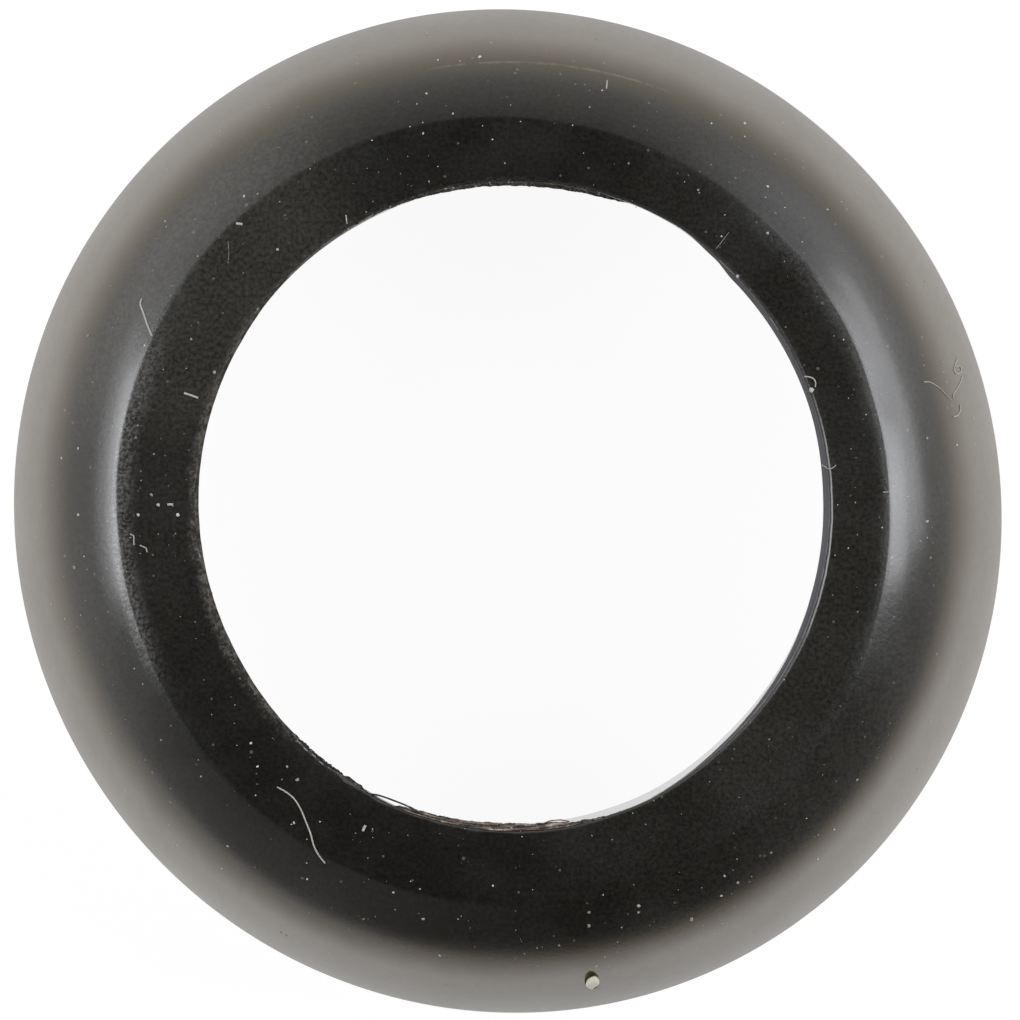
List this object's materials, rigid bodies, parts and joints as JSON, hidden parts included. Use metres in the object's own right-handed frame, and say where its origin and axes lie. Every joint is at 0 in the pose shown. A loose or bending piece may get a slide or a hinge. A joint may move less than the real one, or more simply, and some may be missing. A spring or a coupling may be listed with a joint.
{
  "type": "rubber grommet",
  "caption": "Round moulded rubber grommet with a domed head, a panel groove and a lead-in flange; it lines a panel hole and guards the cable or tube in its bore.",
  "frame": {"origin": "centre of the bore at the flange's flat bottom face", "axes": "+Z along the bore and out of the domed head; X and Y lie in the bottom face, and the form is the same all round"},
  "size_m": [0.03, 0.03, 0.0111],
  "materials": {
    "rubber": "satin black, with a grey bloom that shows where the surface is seen at a slant"
  },
  "bodies": {
    "root": {"grommet": "rubber"}
  },
  "joints": []
}
